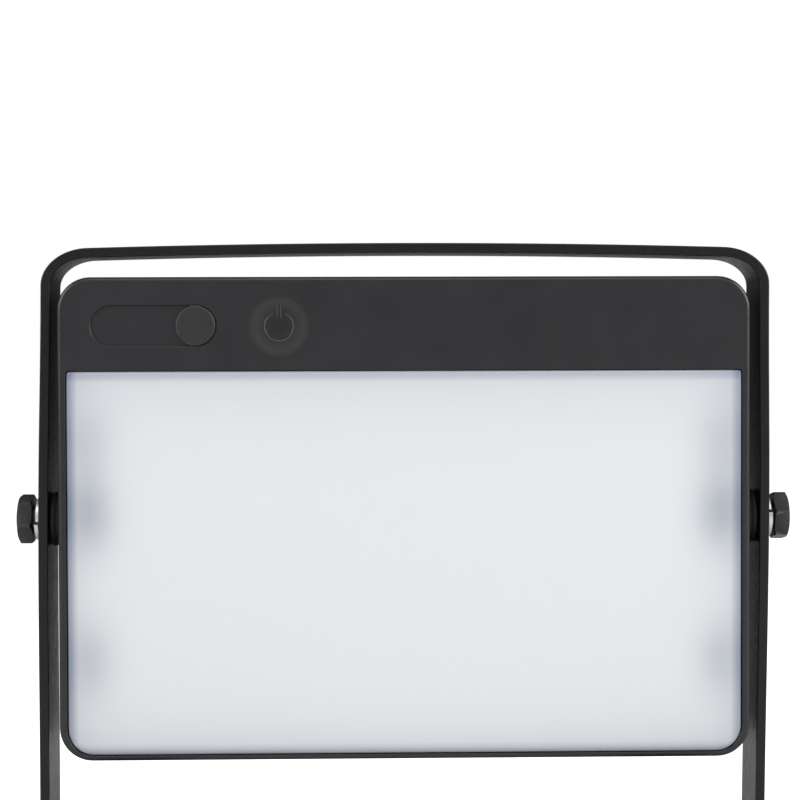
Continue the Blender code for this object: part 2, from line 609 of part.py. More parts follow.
def electronics(group):
    """The control board behind the dimmer, the driver board, and the charging socket."""
    board = slab("control_board", rounded(-0.1130, -0.0260, HEAD_Z + 0.0580,
                                          HEAD_Z + 0.0830, 0.0015, 0.0015, 2),
                 *CONTROL_BOARD)
    join(board, *[block("sensor", (x - 0.0015, -0.0080, KNOB_Z - 0.0020),
                        (x + 0.0015, -0.0060, KNOB_Z + 0.0020))
                  for x in (KNOB_X - KNOB_TRAVEL * i / 3 for i in range(4))],
         block("controller", (-0.1000, -0.0064, HEAD_Z + 0.0660),
               (-0.0900, -0.0040, HEAD_Z + 0.0760)))
    cut(board, rod("post_clear", POSTS[0], POST_R + GAP, -0.0200, 0.0100, "Y", 16))
    finish_piece(board, "circuit_board", group)

    switch = block("power_switch", (BUTTON_X - 0.0060, -0.0105, BUTTON_Z - 0.0060),
                   (BUTTON_X + 0.0060, -0.0073, BUTTON_Z + 0.0060))
    cut(switch, rod("bore", (BUTTON_X, BUTTON_Z), 0.0021, -0.0120, -0.0077, "Y", 12))
    finish_piece(switch, "dark_plastic", group)

    driver = slab("driver_board", rounded(0.0100, 0.1050, HEAD_Z + 0.0585, HEAD_Z + 0.0820,
                                          0.0015, 0.0015, 2), *DRIVER_BOARD)
    join(driver, rod("coil", (0.0300, HEAD_Z + 0.0700), 0.0065, 0.0070, 0.0155, "Y", 16),
         *[rod("capacitor", (x, HEAD_Z + 0.0700), 0.0040, 0.0070, 0.0180, "Y", 12)
           for x in (0.0480, 0.0590)],
         block("chip", (0.0720, 0.0070, HEAD_Z + 0.0650), (0.0800, 0.0094, HEAD_Z + 0.0750)),
         block("connector", (0.0880, 0.0070, HEAD_Z + 0.0640),
               (0.1000, 0.0140, HEAD_Z + 0.0760)))
    finish_piece(driver, "circuit_board", group)

    socket = block("charge_socket", (PORT_X - 0.0070, 0.0120, PORT_Z - 0.0055),
                   (PORT_X + 0.0070, TUB_BACK_Y + 0.0007, PORT_Z + 0.0055))
    cut(socket, rod("bore", (PORT_X, PORT_Z), 0.0030, 0.0150, 0.0300, "Y", 16))
    join(socket, rod("contact", (PORT_X, PORT_Z), 0.0010, 0.0145, 0.0205, "Y", 8))
    finish_piece(socket, "dark_plastic", group)
    pin = rod("flap_pin", (FLAP_PIN_Y, FLAP_PIN_Z), 0.0009, PORT_X - 0.0112, PORT_X + 0.0112,
              "X", 10)
    finish_piece(pin, "zinc_steel", group)


def port_flap(group):
    """The cover over the charging socket, hung on its pin."""
    flap = slab("port_flap", rounded(PORT_X - 0.0110, PORT_X + 0.0110, PORT_Z - 0.0095,
                                     FLAP_PIN_Z - 0.0035, 0.0010, 0.0030, 5), *FLAP)
    join(flap, block("neck", (PORT_X - 0.0070, FLAP[0], FLAP_PIN_Z - 0.0050),
                     (PORT_X + 0.0070, FLAP[1], FLAP_PIN_Z - 0.0005)),
         rod("barrel", (FLAP_PIN_Y, FLAP_PIN_Z), BARREL_R, PORT_X - 0.0074,
             PORT_X + 0.0074, "X", 14),
         block("pull_tab", (PORT_X - 0.0040, FLAP[0], PORT_Z - 0.0115),
               (PORT_X + 0.0040, FLAP[1] + 0.0010, PORT_Z - 0.0085)))
    cut(flap, rod("bore", (FLAP_PIN_Y, FLAP_PIN_Z), PIN_HOLE_R, PORT_X - 0.0200,
                  PORT_X + 0.0200, "X", 10))
    finish_piece(flap, "rubber", group)


def dimmer_knob(group):
    """The round sliding knob, held under the edges of its track by two ears, and its magnet."""
    place = (KNOB_X, KNOB_Z)
    floor = FACE_Y + TRACK_DEPTH
    back, shoulder = floor - 0.0001, floor - 0.0004
    knob = turned("dimmer_knob", [(0.0, -0.0167), (0.0060, -0.0166), (KNOB_R, -0.0158),
                                  (KNOB_R, back), (KNOB_POCKET_R, back),
                                  (KNOB_POCKET_R, back - 0.0010), (0.0, back - 0.0010)],
                  place, steps=28)
    ears = slab("ears", circle(*place, KNOB_EAR_R, 48), shoulder, back,
                [circle(*place, KNOB_POCKET_R + 0.0010, 24)])
    combine(ears, "INTERSECT", [block(
        "between", (KNOB_X - KNOB_EAR_HALF_W, shoulder - 0.0010, KNOB_Z - 0.0100),
        (KNOB_X + KNOB_EAR_HALF_W, back + 0.0010, KNOB_Z + 0.0100))])
    join(knob, ears)
    finish_piece(knob, "black_plastic", group)
    finish_piece(rod("knob_magnet", place, 0.0029, back - 0.0009, back - 0.0001, "Y", 16),
                 "magnet", group)


def power_button(group):
    """The dished push button, and the switch plunger that it works."""
    place = (BUTTON_X, BUTTON_Z)
    dish = [(BUTTON_R * t, -0.0150 - 0.0010 * t * t) for t in (0.0, 0.4, 0.7, 0.9, 1.0)]
    button = turned("power_button", dish + [(BUTTON_R, -0.0127), (0.0128, -0.0127),
                                            (0.0128, -0.0121), (0.0100, -0.0121),
                                            (0.0100, -0.0138), (0.0030, -0.0138),
                                            (0.0030, -0.0128), (0.0, -0.0128)],
                    place, steps=28)
    finish_piece(button, "black_plastic", group)
    finish_piece(rod("switch_plunger", place, 0.0018, -0.0125, -0.0087, "Y", 12),
                 "white_plastic", group)


def main():
    base = assembly("stand", (0.0, 0.0, 0.0))
    head = assembly("head", (0.0, 0.0, PIVOT_Z))
    knob = assembly("dimmer", (KNOB_X, FACE_Y, KNOB_Z), head)
    button = assembly("power", (BUTTON_X, FACE_Y, BUTTON_Z), head)
    flap = assembly("flap", (PORT_X, FLAP_PIN_Y, FLAP_PIN_Z), head)
    stand(base)
    for side, sign in (("left", -1), ("right", 1)):
        pivot_hardware(head, side, sign)
    front_housing(head)
    rear_cover(head)
    light_engine(head)
    batteries(head)
    electronics(head)
    port_flap(flap)
    dimmer_knob(knob)
    power_button(button)


main()
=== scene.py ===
"""Looks of the portable LED work light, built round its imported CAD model."""
import json
import math

import bmesh
import bpy
from mathutils import Matrix, Vector


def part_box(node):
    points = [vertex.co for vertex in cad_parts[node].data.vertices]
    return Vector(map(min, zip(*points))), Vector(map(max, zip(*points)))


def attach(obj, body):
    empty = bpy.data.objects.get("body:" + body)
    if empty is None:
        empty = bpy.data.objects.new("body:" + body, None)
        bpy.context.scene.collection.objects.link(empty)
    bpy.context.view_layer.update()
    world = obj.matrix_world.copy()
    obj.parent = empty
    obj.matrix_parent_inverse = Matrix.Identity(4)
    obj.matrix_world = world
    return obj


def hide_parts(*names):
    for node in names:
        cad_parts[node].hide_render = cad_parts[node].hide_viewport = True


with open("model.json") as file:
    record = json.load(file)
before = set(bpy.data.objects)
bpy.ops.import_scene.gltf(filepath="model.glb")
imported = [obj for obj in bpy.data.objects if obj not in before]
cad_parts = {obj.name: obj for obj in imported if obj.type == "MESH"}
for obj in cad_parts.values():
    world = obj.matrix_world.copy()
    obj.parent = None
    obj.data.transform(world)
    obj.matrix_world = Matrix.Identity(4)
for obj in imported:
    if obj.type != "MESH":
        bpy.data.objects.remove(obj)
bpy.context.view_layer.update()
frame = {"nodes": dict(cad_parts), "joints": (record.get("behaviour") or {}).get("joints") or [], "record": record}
nodes = frame["nodes"]

# ---- places and sizes in metres, from the frame where it gives them ----------------------
SIDES = (("left", -1), ("right", 1))
shell_low, shell_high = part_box("front_housing")
lens_low, lens_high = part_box("diffuser")
knob_low, knob_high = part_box("dimmer_knob")
button_low, button_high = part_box("power_button")
loop_low, loop_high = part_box("stand_loop")
joint = {one["name"]: one for one in frame["joints"]}
PIVOT_Z = joint["head_tilt"]["pos_m"][2]
HEAD_Z = (shell_low[2] + shell_high[2]) / 2
HEAD_HALF_W = shell_high[0]
HEAD_HALF_H = shell_high[2] - HEAD_Z
HEAD_CORNER = 0.0120
FACE_Y = shell_low[1]
SHELL_BACK_Y = shell_high[1]
FACE_WALL = 0.0030
SIDE_WALL = 0.0018
WINDOW_HALF_W = 0.1224
WINDOW_TOP = 0.0537         # over the head's middle, as WINDOW_BOTTOM
WINDOW_BOTTOM = -0.0855
WINDOW_CORNERS = (0.0013, 0.0095)   # radii at the top and at the bottom
BAR = 0.0035                # thickness of the loop's flat bar
BAR_HALF_DEPTH = loop_high[1]
LOOP_BOW = 0.0008           # how far the bolts bow the legs outwards
LOOP_HALF_W = loop_high[0] - LOOP_BOW
LOOP_CROWN = 0.0016         # how far the handle rises to its middle
LOOP_TOP = loop_high[2] - LOOP_CROWN
LOOP_BOTTOM = loop_low[2]
LOOP_CORNER = (0.0175, 0.0135)      # half axes of its bends, across and up
LOOP_LEAN = 0.0076          # the legs' shift to the right, for each metre over the bolts
INSERT_R = 0.0070           # bores for the bolts' threaded inserts
INSERT_SPAN = (0.120, 0.127)
KNOB = ((knob_low[0] + knob_high[0]) / 2, (knob_low[2] + knob_high[2]) / 2)
BUTTON = ((button_low[0] + button_high[0]) / 2, (button_low[2] + button_high[2]) / 2)
TRACK_X = KNOB[0] - 0.0152  # the knob rests near the right end of its track
TRACK_LENGTH = 0.0452
TRACK_R = 0.00735
BUTTON_R = 0.01145
BUTTON_SEAM = 0.00001       # between the button's edge and its hole
PIN_BORE_R = 0.0012         # in the flap's barrel and in the cover's lugs
BARREL_R = 0.0021
PORT_BELOW_PIN = 0.0105
PLAIN_R = 0.0005            # rolled edge of the steel bars
FOOT_CORNER = 0.0060        # of the feet and their boots, seen from above
TAP_R = 0.0028              # screw holes in the steel bars
PAST = 0.001                # how far a cutter reaches past what it cuts


# ---- node materials ----------------------------------------------------------------------
class Finish:
    """A Principled material being put together from nodes, in the part's own metres."""

    def __init__(self, name, colour, roughness, **sockets):
        self.material = bpy.data.materials.new(name)
        self.material.use_nodes = True
        self.tree = self.material.node_tree
        self.shader = self.tree.nodes["Principled BSDF"]
        self.shader.inputs["Base Color"].default_value = (*colour, 1.0)
        self.shader.inputs["Roughness"].default_value = roughness
        for socket, value in sockets.items():
            self.shader.inputs[socket.replace("_", " ")].default_value = value
        self.place = self.node("ShaderNodeTexCoord").outputs["Object"]
        self.normal = None

    def node(self, kind, links=(), **settings):
        made = self.tree.nodes.new(kind)
        for name, value in settings.items():
            setattr(made, name, value)
        for socket, source in links:
            self.feed(made.inputs[socket], source)
        return made

    def feed(self, socket, source):
        if isinstance(source, bpy.types.NodeSocket):
            self.tree.links.new(source, socket)
        else:
            socket.default_value = source

    def math(self, operation, first, second=0.0, third=0.0):
        return self.node("ShaderNodeMath", ((0, first), (1, second), (2, third)),
                         operation=operation).outputs[0]

    def stretched(self, scale):
        return self.node("ShaderNodeMapping", (("Vector", self.place), ("Scale", scale))
                         ).outputs["Vector"]

    def noise(self, scale, detail=3.0, place=None):
        made = self.node("ShaderNodeTexNoise", (("Vector", place or self.place),
                                                ("Scale", scale), ("Detail", detail)))
        return made.outputs["Fac"]

    def remap(self, value, low, high, new_low, new_high):
        made = self.node("ShaderNodeMapRange", ((0, value), (1, low), (2, high),
                                                (3, new_low), (4, new_high)))
        return made.outputs[0]

    def clouds(self, scale):
        """Soft noise, spread over 0 to 1."""
        return self.remap(self.noise(scale, 4.0), 0.3, 0.7, 0.0, 1.0)

    def bump(self, height, distance, strength=1.0):
        links = [("Height", height), ("Distance", distance), ("Strength", strength)]
        if self.normal:
            links.append(("Normal", self.normal))
        self.normal = self.node("ShaderNodeBump", links).outputs["Normal"]
        self.feed(self.shader.inputs["Normal"], self.normal)

    def tint(self, value, dark, light):
        """Base colour between two colours, by a value from 0 to 1."""
        made = self.node("ShaderNodeMix", data_type="RGBA")
        self.feed(made.inputs[0], value)
        made.inputs[6].default_value = (*dark, 1.0)
        made.inputs[7].default_value = (*light, 1.0)
        self.feed(self.shader.inputs["Base Color"], made.outputs[2])
        return made.outputs[2]

    def rough(self, value, low, high):
        """Roughness between two values, by a noise."""
        self.feed(self.shader.inputs["Roughness"], self.remap(value, 0.3, 0.7, low, high))


def edges_for_wear_and_highlight(finish, low, high):
    """0 on flat ground and 1 on convex edges, from the surface's pointiness: a mask for real edge wear and for
    painted edge highlights.
    """
    pointy = finish.node("ShaderNodeNewGeometry").outputs["Pointiness"]
    return finish.remap(pointy, low, high, 0.0, 1.0)


GRAIN, GRAIN_DEPTH = 1900.0, 0.000012       # spark-eroded grain of the moulded plastic


def moulded(name, colour, roughness, grain=GRAIN, depth=GRAIN_DEPTH):
    """Moulded plastic with a fine spark-eroded grain and slight flow marks."""
    finish = Finish(name, colour, roughness, Specular_IOR_Level=0.5)
    dark = tuple(c * 0.90 for c in colour)
    light = tuple(min(c * 1.12, 1.0) for c in colour)
    finish.tint(finish.clouds(38.0), dark, light)
    finish.rough(finish.noise(95.0, 3.0), roughness - 0.04, roughness + 0.05)
    finish.bump(finish.noise(grain, 2.0), depth)
    return finish.material


def plastic_with_painted_edge_highlight(name, colour, roughness):
    """Moulded plastic with a painted highlight: its convex edges are painted lighter."""
    finish = Finish(name, colour, roughness)
    # Painted highlight: the edges' colour, five times lighter than the plastic.
    light = tuple(c * 5.0 for c in colour)
    finish.tint(edges_for_wear_and_highlight(finish, 0.515, 0.56), colour, light)
    finish.rough(finish.noise(95.0, 3.0), roughness - 0.04, roughness + 0.05)
    finish.bump(finish.noise(GRAIN, 2.0), GRAIN_DEPTH)
    return finish.material


def powder_coat():
    """Satin powder coat: low orange peel with a finer grain on top."""
    finish = Finish("powder_coat_black", (0.003, 0.003, 0.003), 0.34, Specular_IOR_Level=0.4)
    finish.tint(finish.clouds(60.0), (0.0018, 0.0018, 0.0018), (0.0040, 0.0040, 0.0040))
    finish.rough(finish.noise(420.0, 3.0), 0.29, 0.39)
    finish.bump(finish.noise(900.0, 3.0), 0.00002, 0.7)
    finish.bump(finish.noise(3600.0, 1.0), 0.000006)
    return finish.material


# Radii on the power button: where its painted dark middle ends, and where its painted band of light fades.
LIT_BAND_START, LIT_BAND_END = (0.0050, 0.0085), (0.0098, 0.0114)


def button_plastic():
    """The power button's plastic, with painted shade in the middle of its dish and a painted band of light round
    it.
    """
    finish = Finish("button_plastic_black", (0.0085, 0.0085, 0.0095), 0.44)
    split = finish.node("ShaderNodeSeparateXYZ", (("Vector", finish.place),))
    across = finish.math("SUBTRACT", split.outputs["X"], BUTTON[0])
    up = finish.math("SUBTRACT", split.outputs["Z"], BUTTON[1])
    radius = finish.math("SQRT", finish.math("ADD", finish.math("POWER", across, 2.0),
                                             finish.math("POWER", up, 2.0)))
    # Painted light and shade: darker in the dish's middle, lighter where its walls would catch the light.
    painted_light_band = finish.math("MULTIPLY", finish.remap(radius, *LIT_BAND_START, 0.0, 1.0),
                       finish.remap(radius, *LIT_BAND_END, 1.0, 0.4))
    finish.tint(painted_light_band, (0.0025, 0.0025, 0.0028), (0.0180, 0.0180, 0.0190))
    finish.bump(finish.noise(GRAIN, 2.0), GRAIN_DEPTH)
    return finish.material


# Dim patches: height from the head's centre, spread along the side edge, amount.
SHADOWS = (
    (0.0025, 0.0145, 0.33),
    (0.0285, 0.0125, 0.16),
    (-0.0510, 0.0140, 0.21),
)
SHADOW_MIDDLE = 0.0085      # of a patch, from the side edge
SHADOW_REACH = 0.0090
# Light lost towards an edge: in its narrow rim, in a wide fade, and how far the fade reaches.
SIDE_LOSS = (0.32, 0.26, 0.0076)
TOP_LOSS = (0.28, 0.21, 0.0120)
BOTTOM_LOSS = (0.19, 0.27, 0.0085)
RIM = (0.0016, 0.0042)      # from an edge, where the narrow rim starts to fade and where it ends


def opal_plastic():
    """Milky diffuser: dimmer and bluer at its rims, and by the bosses and posts behind it."""
    finish = Finish("opal_diffuser", (0.80, 0.80, 0.82), 0.38, Specular_IOR_Level=0.3)
    split = finish.node("ShaderNodeSeparateXYZ", (("Vector", finish.place),))
    side = finish.math("ABSOLUTE", split.outputs["X"])
    height = finish.math("SUBTRACT", split.outputs["Z"], HEAD_Z)
    inward = finish.math("SUBTRACT", WINDOW_HALF_W, side)
    across = finish.math("POWER", finish.math("ABSOLUTE", finish.math(
        "DIVIDE", finish.math("SUBTRACT", inward, SHADOW_MIDDLE), SHADOW_REACH)), 2.0)

    def fading(distance):
        return finish.math("EXPONENT", finish.math("MULTIPLY", distance, -1.0))

    def kept(distance, rim, wide, reach):
        """The share of the light that is left at a distance from one edge."""
        lost = finish.math("MULTIPLY", wide, fading(finish.math("DIVIDE", distance, reach)))
        lost = finish.math("ADD", lost, finish.remap(distance, *RIM, rim, 0.0))
        return finish.math("SUBTRACT", 1.0, lost)
    below_top = finish.math("SUBTRACT", WINDOW_TOP, height)
    over_bottom = finish.math("SUBTRACT", height, WINDOW_BOTTOM)
    glow = finish.math("MULTIPLY", kept(inward, *SIDE_LOSS), finish.math(
        "MULTIPLY", kept(below_top, *TOP_LOSS), kept(over_bottom, *BOTTOM_LOSS)))
    shade = finish.math("SUBTRACT", 1.0, glow)
    for centre, spread, amount in SHADOWS:
        along = finish.math("POWER", finish.math("ABSOLUTE", finish.math(
            "DIVIDE", finish.math("SUBTRACT", height, centre), spread)), 2.0)
        shade = finish.math("ADD", shade, finish.math(
            "MULTIPLY", amount, fading(finish.math("ADD", across, along))))
    light = (0.680, 0.700, 0.713)
    blue_shade = (0.0, 0.04 * light[1], 0.17 * light[2])
    finish.tint(shade, light, blue_shade)
    finish.bump(finish.noise(2600.0, 1.0), 0.000006)
    return finish.material


def rubber(name, colour, roughness):
    """Dull rubber, dusty in patches."""
    finish = Finish(name, colour, roughness, Specular_IOR_Level=0.4)
    finish.tint(finish.clouds(130.0), colour, tuple(c * 1.7 for c in colour))
    finish.bump(finish.noise(1500.0, 3.0), 0.00003)
    return finish.material


def metal(name, colour, roughness, stretch=(1.0, 1.0, 1.0)):
    """Plated or machined metal with fine tool marks, which a stretch draws out along an axis."""
    finish = Finish(name, colour, roughness, Metallic=1.0)
    lines = finish.noise(1400.0, 4.0, finish.stretched(stretch))
    dark = tuple(c * 0.80 for c in colour)
    finish.tint(finish.clouds(240.0), dark, colour)
    finish.rough(lines, roughness - 0.08, roughness + 0.12)
    finish.bump(lines, 0.00001)
    return finish.material


def blackened_steel():
    """Black bolts: dark grained skin, rubbed brighter along the hex's edges."""
    finish = Finish("blackened_steel", (0.012, 0.012, 0.012), 0.36)
    edge = edges_for_wear_and_highlight(finish, 0.52, 0.60)
    patch = finish.math("MULTIPLY", edge, finish.remap(finish.noise(900.0, 3.0),
                                                       0.35, 0.60, 0.3, 1.0))
    finish.tint(patch, (0.008, 0.008, 0.008), (0.12, 0.12, 0.125))
    finish.rough(finish.noise(700.0, 3.0), 0.30, 0.46)
    finish.bump(finish.noise(1300.0, 3.0), 0.00003)
    return finish.material


def circuit_board(name, colour):
    """Solder mask over faint copper tracks, laid like bricks."""
    finish = Finish(name, colour, 0.35, Coat_Weight=0.3)
    tracks = finish.node("ShaderNodeTexBrick", (("Vector", finish.place),
                                                ("Scale", 180.0), ("Mortar Size", 0.06)))
    finish.tint(tracks.outputs["Fac"], colour, tuple(min(c * 1.6, 1.0) for c in colour))
    finish.bump(tracks.outputs["Fac"], 0.00002)
    return finish.material


MATERIALS = {
    "powder_coat": powder_coat(),
    "housing_plastic": moulded("housing_plastic_black", (0.0130, 0.0125, 0.0148), 0.32),
    "control_plastic": plastic_with_painted_edge_highlight("control_plastic_black", (0.0145, 0.0145, 0.0155), 0.46),
    "button_plastic": button_plastic(),
    "cover_plastic": moulded("cover_plastic_black", (0.0075, 0.0075, 0.0080), 0.55, 1300.0,
                             0.00003),
    # The power mark's lighter grey is a painted highlight, for the light its raised lines catch.
    "raised_mark": moulded("raised_mark_grey", (0.040, 0.040, 0.042), 0.34),
    "opal_diffuser": opal_plastic(),
    "reflector_white": moulded("white_plastic", (0.78, 0.78, 0.77), 0.40),
    "rubber": rubber("rubber_black", (0.012, 0.012, 0.013), 0.72),
    "black_steel": blackened_steel(),
    "zinc_steel": metal("zinc_plated_steel", (0.86, 0.86, 0.85), 0.42, (1.0, 0.2, 0.2)),
    "brass": metal("brass", (0.72, 0.50, 0.20), 0.30, (0.1, 1.0, 1.0)),
    "aluminium": metal("milled_aluminium", (0.70, 0.71, 0.73), 0.34, (0.05, 1.0, 1.0)),
    "circuit_board": circuit_board("green_board", (0.015, 0.13, 0.05)),
    "white_board": circuit_board("white_board", (0.74, 0.75, 0.74)),
    "battery_wrap": moulded("battery_wrap_blue", (0.02, 0.09, 0.28), 0.28, 500.0, 0.00002),
    "magnet": metal("nickel_magnet", (0.58, 0.57, 0.55), 0.22),
}
slot_of = {part["node"]: part["material_slot"] for part in frame["record"]["subparts"]}
for name, thing in nodes.items():
    thing.data.materials.clear()
    thing.data.materials.append(MATERIALS[slot_of[name]])


# ---- outlines ----------------------------------------------------------------------------
def arc(u, v, radius, start, end, steps=12):
    """Points along a circle. As stations of a loft they roll an edge: inset against place."""
    angles = [math.radians(start + (end - start) * i / steps) for i in range(steps + 1)]
    return [(u + radius * math.cos(a), v + radius * math.sin(a)) for a in angles]


def rounded(u0, u1, v0, v1, top_r, bottom_r, steps=12):
    """A rectangle with one corner radius at the top and one at the bottom."""
    return (arc(u1 - top_r, v1 - top_r, top_r, 0, 90, steps)
            + arc(u0 + top_r, v1 - top_r, top_r, 90, 180, steps)
            + arc(u0 + bottom_r, v0 + bottom_r, bottom_r, 180, 270, steps)
            + arc(u1 - bottom_r, v0 + bottom_r, bottom_r, 270, 360, steps))


def hexagon(u, v, radius, turn=0.0):
    """Six corners, the first of them at an angle in degrees."""
    return arc(u, v, radius, turn, turn + 360.0, 6)[:-1]


def stadium(u, v, length, radius, steps=24):
    """A slot's outline: two straight sides and two half circles."""
    half = length / 2 - radius
    return arc(u + half, v, radius, -90, 90, steps) + arc(u - half, v, radius, 90, 270, steps)


def head_outline(inset=0.0):
    """The housing seen from the front."""
    radius = HEAD_CORNER - inset
    return rounded(inset - HEAD_HALF_W, HEAD_HALF_W - inset, HEAD_Z - HEAD_HALF_H + inset,
                   HEAD_Z + HEAD_HALF_H - inset, radius, radius)


def window_outline(inset=0.0):
    """The housing's window, with tighter corners at the top."""
    top_r, bottom_r = (max(radius - inset, 0.0003) for radius in WINDOW_CORNERS)
    return rounded(inset - WINDOW_HALF_W, WINDOW_HALF_W - inset, HEAD_Z + WINDOW_BOTTOM + inset,
                   HEAD_Z + WINDOW_TOP - inset, top_r, bottom_r)


def bend(u, v, size, start, steps=16):
    """A quarter of an ellipse, from an angle in degrees."""
    angles = [math.radians(start + 90 * i / steps) for i in range(steps + 1)]
    return [(u + size[0] * math.cos(a), v + size[1] * math.sin(a)) for a in angles]


def loop_outline(inset=0.0):
    """Crowned top, rounded bends, and legs that the bolts bow outwards."""
    corner = tuple(size - inset for size in LOOP_CORNER)
    half_w = LOOP_HALF_W - inset
    top, bottom = LOOP_TOP - inset, LOOP_BOTTOM + inset
    flat = half_w - corner[0]
    low, high = bottom + corner[1], top - corner[1]
    crown = [(flat * t, top + LOOP_CROWN * (1 - t * t)) for t in (i / 12 for i in range(11, 0, -1))]
    crown += [(0.0, top + LOOP_CROWN)] + [(-u, v) for u, v in reversed(crown)]
    right = []
    for t in (i / 8 for i in range(-7, 8)):
        z = PIVOT_Z + abs(t) * ((high if t > 0 else low) - PIVOT_Z)
        right.append((half_w + LOOP_BOW * math.cos(math.pi * t / 2) ** 2, z))
    left = [(-u, v) for u, v in reversed(right)]
    return (bend(flat, low, corner, -90) + right + bend(flat, high, corner, 0) + crown
            + bend(-flat, high, corner, 90) + left + bend(-flat, low, corner, 180))


# ---- mesh building -----------------------------------------------------------------------
AXES = {                    # from an outline's u and v and a place w along the axis to x, y, z
    "X": lambda u, v, w: (w, u, v),
    "Y": lambda u, v, w: (u, w, v),
    "Z": lambda u, v, w: (u, v, w),
}


def made_object(name, bm):
    bmesh.ops.remove_doubles(bm, verts=bm.verts, dist=1e-7)
    bmesh.ops.recalc_face_normals(bm, faces=bm.faces)
    mesh = bpy.data.meshes.new(name)
    bm.to_mesh(mesh)
    bm.free()
    piece = bpy.data.objects.new(name, mesh)
    bpy.context.collection.objects.link(piece)
    return piece


def loft(name, outline, stations, along="Y", ring=False):
    """Skin over stations: each is (what the outline is asked for, place along the axis).

    Without an outline function a station holds its own outline. A ring closes on itself.
    """
    place = AXES[along]
    bm = bmesh.new()
    rows = []
    for shape, w in stations:
        points = outline(shape) if outline else shape
        rows.append([bm.verts.new(place(u, v, w)) for u, v in points])
    pairs = list(zip(rows, rows[1:])) + ([(rows[-1], rows[0])] if ring else [])
    for first, second in pairs:
        for i in range(len(first)):
            j = (i + 1) % len(first)
            bm.faces.new((first[i], first[j], second[j], second[i]))
    if not ring:
        bm.faces.new(rows[0])
        bm.faces.new(rows[-1])
    return made_object(name, bm)


def turned(name, profile, centre, along="Y", steps=72, start=0.0, sweep=360.0):
    """A profile of (radius, place) points turned about an axis."""
    place = AXES[along]
    bm = bmesh.new()
    rows = []
    count = steps if sweep == 360.0 else steps + 1
    for i in range(count):
        angle = math.radians(start + sweep * i / steps)
        rows.append([bm.verts.new(place(centre[0] + radius * math.cos(angle),
                                        centre[1] + radius * math.sin(angle), w))
                     for radius, w in profile])
    last = len(profile) if profile[0][0] > 0 else len(profile) - 1   # closed when off the axis
    for i in range(steps):
        first, second = rows[i], rows[(i + 1) % count]
        for k in range(last):
            m = (k + 1) % len(profile)
            corners = [first[k], second[k], second[m], first[m]]
            if profile[k][0] == 0.0:
                corners = [first[k], second[m], first[m]]
            elif profile[m][0] == 0.0:
                corners = [first[k], second[k], first[m]]
            bm.faces.new(corners)
    if sweep != 360.0:
        bm.faces.new(rows[0])
        bm.faces.new(list(reversed(rows[-1])))
    return made_object(name, bm)


def rod(name, radius, low, high, centre, along="Y", steps=32):
    """A plain cylinder between two places on its axis."""
    return turned(name, [(0.0, low), (radius, low), (radius, high), (0.0, high)], centre, along,
                  steps)


def block(name, low, high, edge=0.0):
    """A box between two corners, with rounded edges."""
    bm = bmesh.new()
    bmesh.ops.create_cube(bm, size=1.0)
    low, high = Vector(low), Vector(high)
    matrix = Matrix.Translation((low + high) / 2) @ Matrix.Diagonal((*(high - low), 1.0))
    bmesh.ops.transform(bm, matrix=matrix, verts=bm.verts)
    if edge:
        bmesh.ops.bevel(bm, geom=bm.edges, offset=edge, segments=3, profile=0.5,
                        affect="EDGES")
    return made_object(name, bm)


def combine(piece, operation, tools):
    """Boolean a list of pieces into another; the tools go."""
    for tool in tools:
        modifier = piece.modifiers.new(operation, "BOOLEAN")
        modifier.operation = operation
        modifier.solver = "EXACT"
        modifier.object = tool
    graph = bpy.context.evaluated_depsgraph_get()
    mesh = bpy.data.meshes.new_from_object(piece.evaluated_get(graph))
    piece.modifiers.clear()
    piece.data = mesh
    for tool in tools:
        bpy.data.objects.remove(tool)
    return piece


def join(piece, *tools):
    return combine(piece, "UNION", tools)


def cut(piece, *tools):
    return combine(piece, "DIFFERENCE", tools)


def finished(piece, material, body, *stands_for, smooth=32.0, slot=None):
    """Shade a piece, give it its material, and let it ride on a body; the slot is not used."""
    mesh = piece.data
    mesh.materials.clear()
    mesh.materials.append(MATERIALS[material])
    mesh.polygons.foreach_set("use_smooth", [True] * len(mesh.polygons))
    mesh.set_sharp_from_angle(angle=math.radians(smooth))
    weighted = piece.modifiers.new("Weighted normals", "WEIGHTED_NORMAL")
    weighted.keep_sharp = True
    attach(piece, body)
    if stands_for:
        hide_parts(*stands_for)
    return piece


# ---- the stand ---------------------------------------------------------------------------
def stand_loop():
    """The bent flat bar, with rolled edges and drilled holes, leaning slightly to the right."""
    r, half = PLAIN_R, BAR_HALF_DEPTH
    section = (arc(r, r - half, r, 180, 270, 3) + arc(BAR - r, r - half, r, 270, 360, 3)
               + arc(BAR - r, half - r, r, 0, 90, 3) + arc(r, half - r, r, 90, 180, 3))
    loop = loft("loop_bar", loop_outline, section, ring=True)
    screws = [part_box(f"foot_nut_{side}_{n}") for side, _ in SIDES for n in (1, 2)]
    holes = [rod("hole", TAP_R, 0.0, 0.02, ((low[0] + high[0]) / 2, 0.0), "Z")
             for low, high in screws]
    floor, top = LOOP_BOTTOM, LOOP_BOTTOM + BAR
    radius, flare = 0.0053, 0.0004
    holes.append(turned("centre_hole", [
        (0.0, floor - PAST), (radius + 3 * flare, floor - PAST), (radius, floor + flare),
        (radius, top - flare), (radius + 3 * flare, top + PAST), (0.0, top + PAST)],
        (0.0, 0.0), "Z", 48))
    cut(loop, *holes)
    for point in loop.data.vertices:
        share = min(1.0, (point.co.z - LOOP_BOTTOM) / LOOP_CORNER[1])
        point.co.x += LOOP_LEAN * share * (point.co.z - PIVOT_Z)
    finished(loop, "powder_coat", "stand", "stand_loop")


